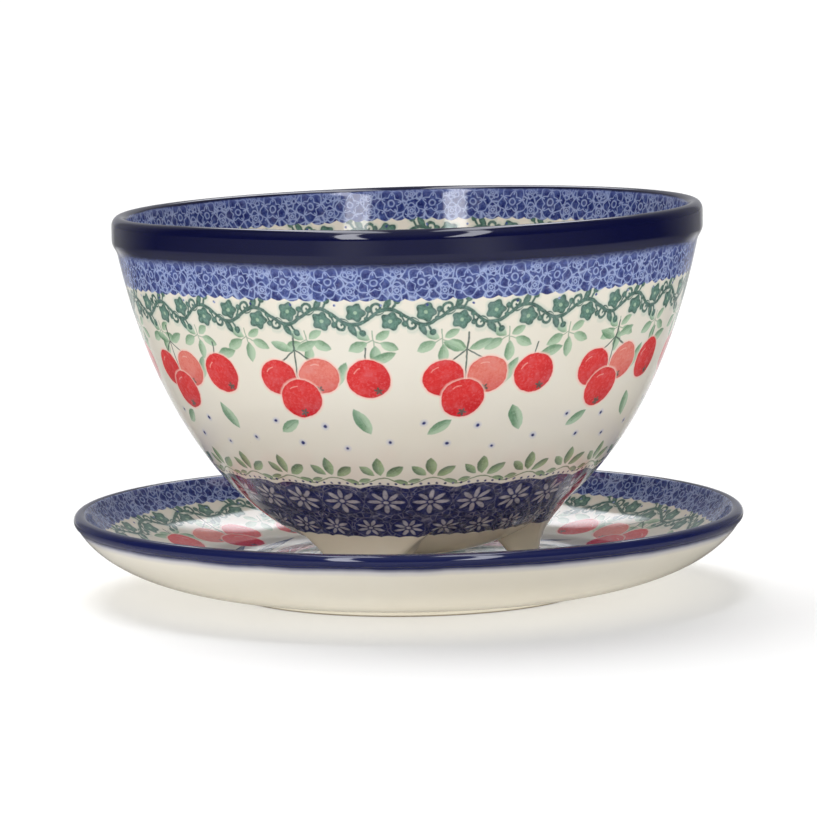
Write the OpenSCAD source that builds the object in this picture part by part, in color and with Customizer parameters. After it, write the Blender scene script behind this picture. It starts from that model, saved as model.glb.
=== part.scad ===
// A berry bowl: a footed stoneware bowl with drain holes in its floor,
// standing in the well of its own saucer. All sizes are in millimetres.
// The floor is at z = 0 and the axis of both pieces is the Z axis.
// The front of the bowl faces -Y.

/* [Bowl] */
// Outer diameter of the bowl over the band at its rim
bowl_d = 176.2; // [150:0.1:190]
// Height of the bowl from the bottoms of its feet to its lip
bowl_h = 108.2; // [90:0.1:130]
// Thickness of the bowl's wall and floor, square to the surface
bowl_wall = 4.6; // [3.5:0.1:6]
// Diameter of the level middle of the bowl's floor
floor_d = 14; // [6:1:24]
// How far the floor's curve reaches outwards before it turns up
floor_reach = 41.6; // [30:0.1:48]
// Length of the wall's straight pull down from the rim
wall_pull = 54; // [40:0.5:62]
// Lean of the wall under the rim, away from upright, in degrees
wall_lean = 11.3; // [4:0.1:18]

/* [Rim band] */
// Height of the dark band round the rim
band_h = 9.7; // [7:0.1:14]
// How far the band stands proud of the wall
band_proud = 1.3; // [0.6:0.1:2.2]
// Thickness of the rounded lip
lip_t = 4.6; // [3.6:0.1:6]

/* [Feet] */
// Directions in which the three feet stand, away from the front, in degrees
foot_turns = [-22, 94, -150]; // [-180:1:180]
// Outer diameter of the ring of feet where it stands
foot_d = 76.6; // [68:0.1:88]
// Thickness of the ring of feet where it stands
foot_t = 5.9; // [4:0.1:9]
// Width of a foot across its outer side where it stands
foot_w = 14; // [8:0.1:20]
// Lean of the feet's outer side, away from upright, in degrees
foot_lean = 13; // [0:0.5:20]
// Slant of the feet's inner side, away from upright, in degrees
foot_slant = 26.5; // [10:0.5:40]
// Rounding of the outer edge that a foot stands on
foot_edge = 1.6; // [0.5:0.1:2.5]
// Clear height between the bowl's underside and what it stands on
foot_lift = 5; // [3:0.1:9]
// Radius of the hollow curve that each side of a foot follows
side_r = 40; // [34:1:60]
// How far the centre of that curve lies below the bottom of the foot
side_drop = 18; // [10:1:24]
// Height above a foot's bottom where it begins to flare out into the wall
flare_h = 7; // [4:0.1:9]
// Radius of the flare
flare_r = 22; // [12:0.5:30]
// Lean of the flare where it runs into the wall, in degrees
flare_lean = 40; // [30:1:44]

/* [Drain holes] */
// Diameter of a drain hole
drain_d = 5; // [3:0.1:6]
// Distance between neighbouring rings of drain holes
drain_pitch = 10.4; // [8.5:0.1:11.5]
// Number of rings of drain holes round the middle one
drain_rings = 2; // [1:1:2]

/* [Saucer] */
// Outer diameter of the saucer over its lip
saucer_d = 200.8; // [192:0.1:240]
// Height of the saucer from the floor to its lip
saucer_h = 25; // [20:0.1:34]
// Thickness of the saucer's flat middle
saucer_wall = 4.8; // [3.5:0.1:6.5]
// Thickness of the saucer's wall where it meets the lip
saucer_thin = 3.6; // [2.8:0.1:3.8]
// Thickness of the rolled lip
saucer_lip = 4.2; // [4:0.1:6]
// Diameter of the flat middle, which is the well that the bowl stands in
well_d = 112; // [104:1:120]
// How far the flat middle's curve reaches outwards before it turns up
well_reach = 6; // [2:0.1:12]
// Length of the wall's straight pull down from the lip
saucer_pull = 18.7; // [12:0.1:24]
// Lean of the wall under the lip, away from upright, in degrees
saucer_lean = 27.5; // [20:0.5:36]

/* [Saucer foot ring] */
// Outer diameter of the ring that the saucer stands on
ring_d = 108; // [90:0.5:110]
// Thickness of the ring
ring_t = 6.5; // [4:0.1:9]
// Height of the ring, which lifts the saucer's flat underside
ring_h = 2.2; // [1.5:0.1:4]
// Rounding of the edges that the ring stands on
ring_edge = 1; // [0.3:0.1:1.2]

/* [Hidden] */
// Colours of the glaze
CREAM = [0.88, 0.86, 0.83];
COBALT = [0.12, 0.12, 0.30];
// Steps along a curved wall, and along a rounded edge
WALL_STEPS = 28;
EDGE_STEPS = 6;

// The saucer stands on the floor, and the bowl's feet stand in its well
well_z = ring_h + saucer_wall;
bowl_r = bowl_d / 2;
bowl_top = well_z + bowl_h;
under_z = well_z + foot_lift;

// Distance of the centre of a foot's side curve from the middle of the foot
foot_r = foot_d / 2;
side_at = foot_w / 2 + sqrt(pow(side_r, 2) - pow(side_drop, 2));
// Where the flare of the feet begins, and the centre of its curve
flare_from = [foot_r + (flare_h - foot_edge) * tan(foot_lean), well_z + flare_h];
flare_mid = flare_from + flare_r * [cos(foot_lean), -sin(foot_lean)];
// Where the flare ends, inside the bowl's wall
flare_end = flare_mid + flare_r * [-cos(flare_lean), sin(flare_lean)]
    + 8 * [sin(flare_lean), cos(flare_lean)];

// Where the bowl's wall ends and its rim band begins
wall_top = [bowl_r - band_proud, bowl_top - band_h];
// The bowl's outer curve as the four control points of a cubic curve,
// from the edge of the level floor to the top of the wall
BOWL_CURVE = [
    [floor_d / 2, under_z],
    [floor_d / 2 + floor_reach, under_z],
    wall_top - wall_pull * [sin(wall_lean), cos(wall_lean)],
    wall_top
];
// Radius of the wall's inner side where the rim band begins
band_inner_r = wall_top[0] - bowl_wall / cos(wall_lean);

// Centre of the saucer's rolled lip
lip_mid = [saucer_d / 2 - saucer_lip / 2, saucer_h - saucer_lip / 2];
// Where the saucer's underside runs into the rolled lip
saucer_end = lip_mid + saucer_thin / 2 * [cos(saucer_lean), -sin(saucer_lean)];
// The saucer's underside as the four control points of a cubic curve
SAUCER_CURVE = [
    [well_d / 2, ring_h],
    [well_d / 2 + well_reach, ring_h],
    saucer_end - saucer_pull * [sin(saucer_lean), cos(saucer_lean)],
    saucer_end
];

// A point of a cubic curve p, for t from 0 to 1
function curve(p, t) =
    pow(1 - t, 3) * p[0] + 3 * pow(1 - t, 2) * t * p[1]
    + 3 * (1 - t) * pow(t, 2) * p[2] + pow(t, 3) * p[3];

// The direction of the curve at t
function heading(p, t) =
    pow(1 - t, 2) * (p[1] - p[0]) + 2 * (1 - t) * t * (p[2] - p[1])
    + pow(t, 2) * (p[3] - p[2]);

// A point at a depth inside the curve at t, square to it
function inside(p, t, depth) =
    curve(p, t) + depth / norm(heading(p, t)) * [-heading(p, t)[1], heading(p, t)[0]];

// Points of an arc about a centre, from one angle to another
function arc(centre, r, from, to) = [
    for (i = [0 : EDGE_STEPS]) centre + r * [
        cos(from + (to - from) * i / EDGE_STEPS),
        sin(from + (to - from) * i / EDGE_STEPS)
    ]
];

// Even shares of the way along a curve, leaving out some at either end
function steps(skip_first, skip_last) =
    [for (i = [skip_first : WALL_STEPS - skip_last]) i / WALL_STEPS];

// Half of the bowl's body without its rim band, as a section through the axis
function body_section() = concat(
    [[0, under_z]],
    [for (t = steps(0, 0)) curve(BOWL_CURVE, t)],
    [[band_inner_r, wall_top[1]]],
    [for (t = steps(0, 1)) inside(BOWL_CURVE, 1 - t - 1 / WALL_STEPS, bowl_wall)],
    [[0, under_z + bowl_wall]]
);

// Half of the space above the middle of the bowl's wall, which the feet stay out of
function above_section() = concat(
    [for (t = steps(0, 0)) inside(BOWL_CURVE, t, bowl_wall / 2)],
    [[0, wall_top[1]], [0, under_z + bowl_wall / 2]]
);

// Half of the rim band, with a chamfer under it and a rounded lip over it
function band_section() = concat(
    [[band_inner_r, wall_top[1]], wall_top, [bowl_r, wall_top[1] + band_proud]],
    arc([bowl_r - lip_t / 2, bowl_top - lip_t / 2], lip_t / 2, 0, 180)
);

// Half of the ring that the feet are cut from, flaring up into the bowl's wall
function foot_section() = let (up = bowl_h / 3) concat(
    [[foot_r - foot_t, well_z]],
    arc([foot_r - foot_edge, well_z + foot_edge], foot_edge, -90, 0),
    arc(flare_mid, flare_r, 180 - foot_lean, 180 - flare_lean),
    [flare_end, [foot_r - foot_t - up * tan(foot_slant), well_z + up]]
);

// Half of the saucer without its rolled lip, standing on its foot ring
function saucer_section() = concat(
    [[0, ring_h], [well_d / 2, ring_h]],
    [for (t = steps(1, 0)) curve(SAUCER_CURVE, t)],
    [for (t = steps(0, 0)) inside(SAUCER_CURVE, 1 - t,
        saucer_wall + (saucer_thin - saucer_wall) * (1 - t))],
    [[0, well_z]]
);

// Half of the ring under the saucer
function ring_section() = concat(
    arc([ring_d / 2 - ring_t + ring_edge, ring_edge], ring_edge, 180, 270),
    arc([ring_d / 2 - ring_edge, ring_edge], ring_edge, 270, 360),
    [
        [ring_d / 2, ring_h + saucer_wall / 2],
        [ring_d / 2 - ring_t, ring_h + saucer_wall / 2]
    ]
);

// The shape that a foot keeps of the ring, seen from outside: narrow where it
// stands, and wider up to the wall along a hollow curve on each side
module foot_face() {
    difference() {
        translate([-bowl_r / 2, 0]) square([bowl_r, bowl_h / 3]);
        for (side = [-1, 1])
            translate([side * side_at, -side_drop]) circle(r = side_r);
    }
}

// The feet: what is left of one ring under the bowl when the clay between
// them has been cut away
module feet() {
    for (turn = foot_turns)
        intersection() {
            difference() {
                rotate_extrude() polygon(foot_section());
                rotate_extrude() polygon(above_section());
            }
            rotate([0, 0, turn]) translate([0, 0, well_z])
                rotate([90, 0, 0]) linear_extrude(height = bowl_r) foot_face();
        }
}

// The drain holes: one in the middle, and six more in each ring round it
module drain_holes() {
    for (ring = [0 : drain_rings])
        for (i = [0 : max(6 * ring, 1) - 1])
            rotate([0, 0, i * 360 / max(6 * ring, 1)])
                translate([ring * drain_pitch, 0, well_z])
                    cylinder(h = foot_lift + bowl_wall + drain_pitch, d = drain_d);
}

// The bowl: one piece of fired clay, with its rim band in the darker glaze
module bowl() {
    color(CREAM) difference() {
        union() {
            rotate_extrude() polygon(body_section());
            feet();
        }
        drain_holes();
    }
    color(COBALT) rotate_extrude() polygon(band_section());
}

// The saucer: one piece of fired clay, with its rolled lip in the darker glaze
module saucer() {
    color(CREAM) rotate_extrude() polygon(saucer_section());
    color(CREAM) rotate_extrude() polygon(ring_section());
    color(COBALT) rotate_extrude() translate(lip_mid) circle(d = saucer_lip);
}

saucer();
bowl();
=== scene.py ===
# %% [markdown]
# A footed berry bowl on its saucer, in glazed stoneware. The bowl is a turned
# shell with a dark band round its rim, holes in its floor and three feet; the
# saucer is a shallow dish with a rolled lip. The frame holds both as plain
# solids. This lesson turns finer meshes over them and then builds the glazes.

# %% Load the fixed frame
from functools import partialmethod
from math import atan2, cos, degrees, hypot, pi, radians, sin, sqrt, tan

import bpy
import numpy as np
from mathutils import Matrix, Vector


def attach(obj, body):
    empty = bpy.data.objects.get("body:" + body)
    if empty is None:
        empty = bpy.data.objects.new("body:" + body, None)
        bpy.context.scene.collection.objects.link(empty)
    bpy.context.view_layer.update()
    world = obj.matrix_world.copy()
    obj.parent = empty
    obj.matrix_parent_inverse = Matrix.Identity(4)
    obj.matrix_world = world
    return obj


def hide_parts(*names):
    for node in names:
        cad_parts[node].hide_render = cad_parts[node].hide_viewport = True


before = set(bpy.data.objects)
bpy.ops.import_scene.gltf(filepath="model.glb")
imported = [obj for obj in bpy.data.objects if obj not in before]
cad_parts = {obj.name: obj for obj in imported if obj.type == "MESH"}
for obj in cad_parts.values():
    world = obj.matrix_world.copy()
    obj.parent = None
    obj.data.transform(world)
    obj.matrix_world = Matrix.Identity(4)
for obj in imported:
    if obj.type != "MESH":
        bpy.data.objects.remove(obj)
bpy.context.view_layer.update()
MM = 0.001
print("solids in the frame:", sorted(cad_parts))


# %% [markdown]
# The camera stands well back with a long lens, as for a product photograph, and
# a little above the rim, so the far inside of the bowl just shows. It leans to
# one side, because in the photograph the whole dish leans.

# %% Camera
CAMERA_AT = (0.4 * MM, -1423 * MM, 221 * MM)
LOOK_DOWN = radians(6.67)
LEAN = radians(-0.76)
LENS = 210.6

camera_data = bpy.data.cameras.new("photo camera")
camera_data.lens = LENS
camera_data.sensor_width = 36
camera_data.clip_end = 20
camera = bpy.data.objects.new("photo camera", camera_data)
bpy.context.scene.collection.objects.link(camera)
camera.matrix_world = (
    Matrix.Translation(CAMERA_AT)
    @ Matrix.Rotation(pi / 2 - LOOK_DOWN, 4, "X")
    @ Matrix.Rotation(LEAN, 4, "Z")
)
bpy.context.scene.camera = camera
print("lens", LENS, "mm, looking down", round(degrees(LOOK_DOWN), 2), "degrees")


# %% [markdown]
# Turned ware starts as a section. The wall here is one cubic curve from the
# level middle of the floor to the rim band, as in the frame's solid, and its
# inner side is that curve moved inwards. A curve that is worked out and not typed
# can be as smooth as the glaze needs it.

# %% Sections of the bowl and the saucer, in millimetres
RIM_R = 88.1
BAND_H = 9.7
BAND_PROUD = 1.3
LIP_T = 4.6
BOWL_WALL = 4.6
WALL_LEAN = radians(11.3)
WALL_PULL = 54
FLOOR_R = 7
FLOOR_REACH = 41.6
WELL_Z = 7
FOOT_LIFT = 5
BOWL_TOP = WELL_Z + 108.2
UNDER_Z = WELL_Z + FOOT_LIFT


def curve(p, t):
    """The point at t on the cubic curve with control points p."""
    return ((1 - t) ** 3 * p[0] + 3 * (1 - t) ** 2 * t * p[1]
            + 3 * (1 - t) * t ** 2 * p[2] + t ** 3 * p[3])


def inwards(p, t, depth):
    """The point that lies square to the curve at t, at a depth inside it."""
    along = (1 - t) ** 2 * (p[1] - p[0]) + 2 * (1 - t) * t * (p[2] - p[1]) + t ** 2 * (p[3] - p[2])
    return curve(p, t) + depth / hypot(*along) * np.array([-along[1], along[0]])


def arc(centre, r, start, end, steps):
    """Points of an arc about a centre, with angles in degrees."""
    turn = np.radians(np.linspace(start, end, steps + 1))
    return [np.array(centre) + r * np.array([cos(a), sin(a)]) for a in turn]


WALL_TOP = np.array([RIM_R - BAND_PROUD, BOWL_TOP - BAND_H])
BOWL_CURVE = np.array([
    (FLOOR_R, UNDER_Z),
    (FLOOR_R + FLOOR_REACH, UNDER_Z),
    WALL_TOP - WALL_PULL * np.array([sin(WALL_LEAN), cos(WALL_LEAN)]),
    WALL_TOP,
])
SAUCER_R = 100.4
SAUCER_H = 25
SAUCER_WALL = 4.8
SAUCER_THIN = 3.6
SAUCER_LIP = 4.2
WELL_R = 56
RING_H = 2.2
SAUCER_LEAN = radians(27.5)
SAUCER_PULL = 18.7
WELL_REACH = 6
# The inner side of a wall starts a little below the end of its curve
INNER_START = 0.97
LIP_MID = np.array([SAUCER_R - SAUCER_LIP / 2, SAUCER_H - SAUCER_LIP / 2])
SAUCER_END = LIP_MID + SAUCER_THIN / 2 * np.array([cos(SAUCER_LEAN), -sin(SAUCER_LEAN)])
SAUCER_CURVE = np.array([
    (WELL_R, RING_H),
    (WELL_R + WELL_REACH, RING_H),
    SAUCER_END - SAUCER_PULL * np.array([sin(SAUCER_LEAN), cos(SAUCER_LEAN)]),
    SAUCER_END,
])
print("bowl", 2 * RIM_R, "mm across, saucer", 2 * SAUCER_R, "mm across")


# %% [markdown]
# A lathe in Blender is one vertex, extruded along the section and then spun.
# The vertex comes from a plane whose corners are merged. After the spin the
# doubled points at the seam and on the axis are merged, and the normals are
# recalculated, because a spin can turn the surface inside out.

# %% Helpers for modelling in edit mode
def deselect():
    """Leave edit mode with nothing selected."""
    if bpy.context.object and bpy.context.object.mode != "OBJECT":
        bpy.ops.object.mode_set(mode="OBJECT")
    bpy.ops.object.select_all(action="DESELECT")


def pick(*objects):
    """Select these objects alone, with the first one active."""
    deselect()
    for thing in objects:
        thing.select_set(True)
    bpy.context.view_layer.objects.active = objects[0]


def turned(name, section, steps):
    """A closed mesh spun about the Z axis from a section in millimetres."""
    deselect()
    points = [Vector((r * MM, 0, z * MM)) for r, z in section]
    bpy.ops.mesh.primitive_plane_add(size=MM, location=points[0])
    body = bpy.context.object
    body.name = body.data.name = name
    bpy.ops.object.transform_apply(location=True, rotation=True, scale=True)
    bpy.ops.object.mode_set(mode="EDIT")
    bpy.ops.mesh.merge(type="CENTER")
    for last, point in zip(points, points[1:]):
        bpy.ops.mesh.extrude_region_move(TRANSFORM_OT_translate={"value": point - last})
    bpy.ops.mesh.select_all(action="SELECT")
    bpy.ops.mesh.spin(steps=steps, angle=2 * pi, center=(0, 0, 0), axis=(0, 0, 1))
    bpy.ops.mesh.select_all(action="SELECT")
    bpy.ops.mesh.remove_doubles(threshold=1e-6)
    bpy.ops.mesh.normals_make_consistent(inside=False)
    bpy.ops.object.mode_set(mode="OBJECT")
    return body


def combined(body, tool, operation):
    """Join a tool to a body, or cut it away, and remove the tool."""
    pick(body)
    boolean = body.modifiers.new("boolean", "BOOLEAN")
    boolean.object, boolean.operation, boolean.solver = tool, operation, "EXACT"
    bpy.ops.object.modifier_apply(modifier=boolean.name)
    bpy.data.objects.remove(tool)


def gathered(items, name):
    """One vector of each item, such as its place or its normal, as rows."""
    values = np.empty(len(items) * 3)
    items.foreach_get(name, values)
    return values.reshape(-1, 3)


# %% [markdown]
# The bowl's section runs up the outside, over the band and the lip, and down
# inside. Spun as one line it leaves no seams between those parts.

# %% The bowl's shell
AROUND = 240
WALL_STEPS = 90

outer_wall = [curve(BOWL_CURVE, t) for t in np.linspace(0, 1, WALL_STEPS + 1)]
inner_wall = [inwards(BOWL_CURVE, t, BOWL_WALL) for t in np.linspace(INNER_START, 0, WALL_STEPS)]
band_low = np.array([RIM_R, WALL_TOP[1] + BAND_PROUD])
lip_centre = [RIM_R - LIP_T / 2, BOWL_TOP - LIP_T / 2]
# The glaze fills the step under the band, so the band swells out of the wall
SWELL = [outer_wall[-2], WALL_TOP + [0.1, 0.1], band_low - [0, 0.6], band_low + [0, 1.4]]
band_side = [curve(SWELL, t) for t in np.linspace(0.1, 1, 10)] + [band_low + [0, 4]]
# Outside, the lip's rounding is a little taller than it is deep
LIP_HIGH = 2.9
lip_outside = [(lip_centre[0] + LIP_T / 2 * cos(a), BOWL_TOP - LIP_HIGH + LIP_HIGH * sin(a))
               for a in np.linspace(0, pi / 2, 13)]
lip_inside = arc(lip_centre, LIP_T / 2, 90, 180, 7)
bowl_section = (
    [(0, UNDER_Z), (FLOOR_R / 2, UNDER_Z)]
    + outer_wall[:-1]
    + band_side
    + lip_outside[:-1]
    + lip_inside
    + inner_wall
    + [(FLOOR_R / 2, UNDER_Z + BOWL_WALL), (0, UNDER_Z + BOWL_WALL)]
)
bowl = turned("berry_bowl", bowl_section, AROUND)
print("bowl shell:", len(bowl.data.polygons), "faces")


# %% [markdown]
# A foot is narrow where it stands, and its outer side flares out into the wall
# while its other sides splay. No single tool makes that shape, but a cube with a
# fine grid on it does: each of its points is moved to its place on a foot. The
# edges come out round, as glaze leaves them.

# %% Measures of a foot
FOOT_R = 38.3
FOOT_T = 5.9
FOOT_EDGE = 1.6
FOOT_LEAN = radians(13)
FOOT_SLANT = radians(26.5)
FOOT_TURNS = (-22, 94, -150)
FLARE_H = 7
FLARE_R = 22
FLARE_LEAN = radians(40)
SIDE_R = 40
SIDE_DROP = 18
SIDE_END = 21.9
FOOT_HALF_W = 7
WIDEST_HALF = 34
FOOT_CORNER = 2.2
SIDE_AT = FOOT_HALF_W + sqrt(SIDE_R ** 2 - SIDE_DROP ** 2)
OUTER_TOP = 22.4
INNER_TOP = 10.4
print("a foot stands on a face", 2 * FOOT_HALF_W, "mm wide")


def foot_outer_r(h):
    """Radius of the foot's outer side at heights over its bottom."""
    rise = np.clip((h - FLARE_H) / FLARE_R + sin(FOOT_LEAN), sin(FOOT_LEAN), sin(FLARE_LEAN))
    flare_end = FLARE_H + FLARE_R * (sin(FLARE_LEAN) - sin(FOOT_LEAN))
    return (FOOT_R + (np.minimum(h, FLARE_H) - FOOT_EDGE) * tan(FOOT_LEAN)
            + FLARE_R * (cos(FOOT_LEAN) - np.sqrt(1 - rise ** 2))
            + np.maximum(h - flare_end, 0) * tan(FLARE_LEAN))


def foot_half_width(h):
    """Half of the foot's width at heights over its bottom."""
    up = np.minimum(h, SIDE_END) + SIDE_DROP
    return np.minimum(SIDE_AT - np.sqrt(SIDE_R ** 2 - up ** 2), WIDEST_HALF)


# %% The three feet
def foot_shape(grid, turn):
    """Where the points of a cube from -1 to 1 lie on a foot, in millimetres."""
    across, deep = np.sin(grid[:, :2].T * pi / 2)
    up = ((grid[:, 2] + 1) / 2) ** 1.6
    inner_h, outer_h = INNER_TOP * up, OUTER_TOP * up
    inner_r, outer_r = FOOT_R - FOOT_T - inner_h * tan(FOOT_SLANT), foot_outer_r(outer_h)
    h = inner_h + (outer_h - inner_h) * (deep + 1) / 2
    half_deep = np.hypot(outer_r - inner_r, outer_h - inner_h) / 2
    half_wide = foot_half_width(h)
    low = np.maximum(FOOT_EDGE - h, 0)
    trim = FOOT_EDGE - np.sqrt(FOOT_EDGE ** 2 - low ** 2)
    # The plan of the foot at this height is a rectangle with rounded corners
    size = np.c_[half_wide - trim, half_deep - trim]
    corner = np.minimum(FOOT_CORNER, 0.7 * size.min(1))[:, None]
    ring = np.maximum(np.abs([across, deep]).max(0), 1e-9)[:, None]
    edge = np.c_[across, deep] / ring * size
    core = np.clip(edge, corner - size, size - corner)
    off = edge - core
    reach = np.maximum(np.hypot(*off.T), 1e-9)[:, None]
    spot = (core + off * np.minimum(corner / reach, 1)) * ring
    part = (spot[:, 1] / half_deep + 1) / 2
    r = inner_r + (outer_r - inner_r) * part
    out = np.sqrt(r ** 2 - spot[:, 0] ** 2)
    c, s = cos(radians(turn)), sin(radians(turn))
    return np.c_[c * spot[:, 0] + s * out, s * spot[:, 0] - c * out,
                 WELL_Z + inner_h + (outer_h - inner_h) * part]


for turn in FOOT_TURNS:
    deselect()
    bpy.ops.mesh.primitive_cube_add(size=2)
    foot = bpy.context.object
    bpy.ops.object.mode_set(mode="EDIT")
    bpy.ops.mesh.subdivide(number_cuts=23)
    bpy.ops.object.mode_set(mode="OBJECT")
    grid = gathered(foot.data.vertices, "co")
    foot.data.vertices.foreach_set("co", (foot_shape(grid, turn) * MM).ravel())
    bpy.ops.object.mode_set(mode="EDIT")
    bpy.ops.mesh.select_all(action="SELECT")
    bpy.ops.mesh.normals_make_consistent(inside=False)
    bpy.ops.object.mode_set(mode="OBJECT")
    combined(bowl, foot, "UNION")
print("bowl with feet:", len(bowl.data.polygons), "faces")


# %% [markdown]
# The drain holes are punched while the clay is soft, so glaze rounds their
# edges. A plain cylinder would leave them knife sharp. The punch here flares
# at both ends like a trumpet, and taking it away leaves a rounded edge above
# and below with no bevel to fail on the small faces.

# %% Drain holes
DRAIN_R = 2.5
DRAIN_PITCH = 10.4
DRAIN_RINGS = 2
EDGE = 0.8


def floor_z(r, depth):
    """Height at a radius of the surface that lies at a depth in the wall."""
    line = np.array([inwards(BOWL_CURVE, t, depth) for t in np.linspace(0, 0.6, 200)])
    return float(np.interp(r, line[:, 0], line[:, 1]))


def punch_section(r):
    """Section of the flared punch for the holes on a ring of radius r."""
    low, high = floor_z(r, 0), floor_z(r, BOWL_WALL)
    flare = [(DRAIN_R + EDGE - EDGE * sin(a), EDGE - EDGE * cos(a)) for a in np.linspace(0, pi / 2, 5)]
    wide = DRAIN_R + EDGE + 0.25
    section = [(0, low - 4), (wide, low - 4), (wide, low - 0.05)]
    section += [(out, low + up) for out, up in flare]
    section += [(out, high - up) for out, up in flare[::-1]]
    return section + [(wide, high + 0.05), (wide, high + 4), (0, high + 4)]


for ring in range(DRAIN_RINGS + 1):
    count, r = max(6 * ring, 1), ring * DRAIN_PITCH
    for i in range(count):
        punch = turned("punch", punch_section(r), 28)
        angle = i * 2 * pi / count
        punch.data.transform(Matrix.Translation((r * cos(angle) * MM, r * sin(angle) * MM, 0)))
        combined(bowl, punch, "DIFFERENCE")
print("bowl with drain holes:", len(bowl.data.polygons), "faces")


# %% [markdown]
# The saucer is turned the same way. Its foot ring is part of the same section,
# and its lip is a roll that is a little thicker than the wall under it.

# %% The saucer
RING_R = 54
RING_T = 6.5
RING_EDGE = 1
ROLL_START = -degrees(SAUCER_LEAN) - 14
ROLL_END = 140

under = [curve(SAUCER_CURVE, t) for t in np.linspace(0, 0.985, 60)]
over = [inwards(SAUCER_CURVE, t, SAUCER_WALL + (SAUCER_THIN - SAUCER_WALL) * t)
        for t in np.linspace(INNER_START, 0, 60)]
# Glaze fills the corner on each side of the ring
saucer_section = (
    [(0, RING_H), (24, RING_H), (RING_R - RING_T - 0.6, RING_H), (RING_R - RING_T - 0.1, RING_H - 0.2)]
    + arc([RING_R - RING_T + RING_EDGE, RING_EDGE], RING_EDGE, 180, 270, 4)
    + arc([RING_R - RING_EDGE, RING_EDGE], RING_EDGE, -90, 0, 4)
    + [(RING_R + 0.1, RING_H - 0.2), (RING_R + 0.6, RING_H)]
    + under
    + arc(LIP_MID, SAUCER_LIP / 2, ROLL_START, ROLL_END, 18)
    + over
    + [(r, WELL_Z) for r in (44, 32, 20, 10, 0)]
)
saucer = turned("berry_saucer", saucer_section, AROUND)
print("saucer:", len(saucer.data.polygons), "faces")


# %% [markdown]
# Paint on turned ware follows two directions: round the pot, and down the
# section from the rim. The way round comes from the place itself. The way down
# is stored at each vertex, in millimetres along the section, as an attribute.
# Outside it starts under the rim band, and inside on the crest of the lip.

# %% Where each face lies on the section
def travelled(line):
    """The distance along a line of points at each of its points."""
    return np.concatenate([[0], np.cumsum(np.hypot(*np.diff(line, axis=0).T))])


def nearest(points, line):
    """For each point, its distance to a line and how far along that lies."""
    start, step = line[:-1], np.diff(line, axis=0)
    part = ((points[:, None] - start) * step).sum(2) / (step ** 2).sum(1)
    part = np.clip(part, 0, 1)
    gap = np.hypot(*np.moveaxis(points[:, None] - start - part[..., None] * step, 2, 0))
    best = gap.argmin(1)
    row = np.arange(len(points))
    along = travelled(line)[:-1][best] + part[row, best] * np.hypot(*step.T)[best]
    return gap[row, best], along


def on_section(items, name):
    """The radius and height, in millimetres, of each vertex or each face's centre."""
    place = gathered(items, name) / MM
    return np.c_[np.hypot(place[:, 0], place[:, 1]), place[:, 2]]


def write_down(piece, down):
    """Store how far down the section each vertex lies."""
    stored = piece.data.attributes.new("down", "FLOAT", "POINT")
    stored.data.foreach_set("value", down)


roll_inside = arc(LIP_MID, SAUCER_LIP / 2, 90, ROLL_END, 8)
outer_line = np.array(outer_wall[::-1] + [(0, UNDER_Z)])
inner_line = np.array(lip_inside + inner_wall + [(0, UNDER_Z + BOWL_WALL)])
over_line = np.array(roll_inside + over + [(0, WELL_Z)])
print("mm down each line:", [round(travelled(line)[-1]) for line in (outer_line, inner_line, over_line)])

# %% [markdown]
# A potter glazes by dipping, so a glaze covers one side of the pot, and a face's
# side is the line of the section that it lies on. Where a foot stands in the
# kiln the glaze is wiped off.

# %% Sort the bowl's faces into glazes
OUTSIDE, INSIDE, BAND, BARE = range(4)
SEAM = 0.08

centre, normal = on_section(bowl.data.polygons, "center"), gathered(bowl.data.polygons, "normal")
gap_in, along_in = nearest(centre, inner_line)
bowl_kind = np.full(len(centre), OUTSIDE)
bowl_kind[centre[:, 1] > WALL_TOP[1]] = BAND
bowl_kind[(gap_in < SEAM) & (along_in > 1.2)] = INSIDE
bowl_kind[(abs(centre[:, 1] - WELL_Z) < 0.3) & (normal[:, 2] < -0.5)] = BARE
points = on_section(bowl.data.vertices, "co")
gap_out, down_out = nearest(points, outer_line)
gap_in, down_in = nearest(points, inner_line)
# On the feet down follows the height, so that a painted edge crosses them level
level = np.interp(points[:, 1], outer_line[::-1, 1], travelled(outer_line)[::-1])
on_foot = (np.minimum(gap_out, gap_in) > SEAM) & (points[:, 1] < WALL_TOP[1] - 40)
write_down(bowl, np.where(on_foot, level, np.where(gap_out < gap_in, down_out, down_in)))
print("faces by glaze:", np.bincount(bowl_kind))

# %% Sort the saucer's faces into glazes
TOP, UNDER, RING = range(3)

centre, normal = on_section(saucer.data.polygons, "center"), gathered(saucer.data.polygons, "normal")
gap_over, along_over = nearest(centre, over_line)
saucer_kind = np.full(len(centre), UNDER)
saucer_kind[(gap_over < SEAM) & (along_over > 1.2)] = TOP
saucer_kind[(centre[:, 1] < 0.3) & (normal[:, 2] < -0.5)] = RING
write_down(saucer, nearest(on_section(saucer.data.vertices, "co"), over_line)[1])
print("faces by glaze:", np.bincount(saucer_kind))

# %% [markdown]
# The bowl isn't quite true, because it moved in the kiln. Its rim is higher on
# the right, its wall leans that way by less than a millimetre, and it swells up a
# little at the front left. Each vertex moves with its height and its side.

# %% Kiln warp
KILN_TILT = radians(0.92)
KILN_LEAN = 0.7
KILN_SWELL = 0.65
SWELL_AT = -42
SWELL_WIDE = 24
WARP_FROM = UNDER_Z + 3
LEAN_OVER = 30

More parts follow.
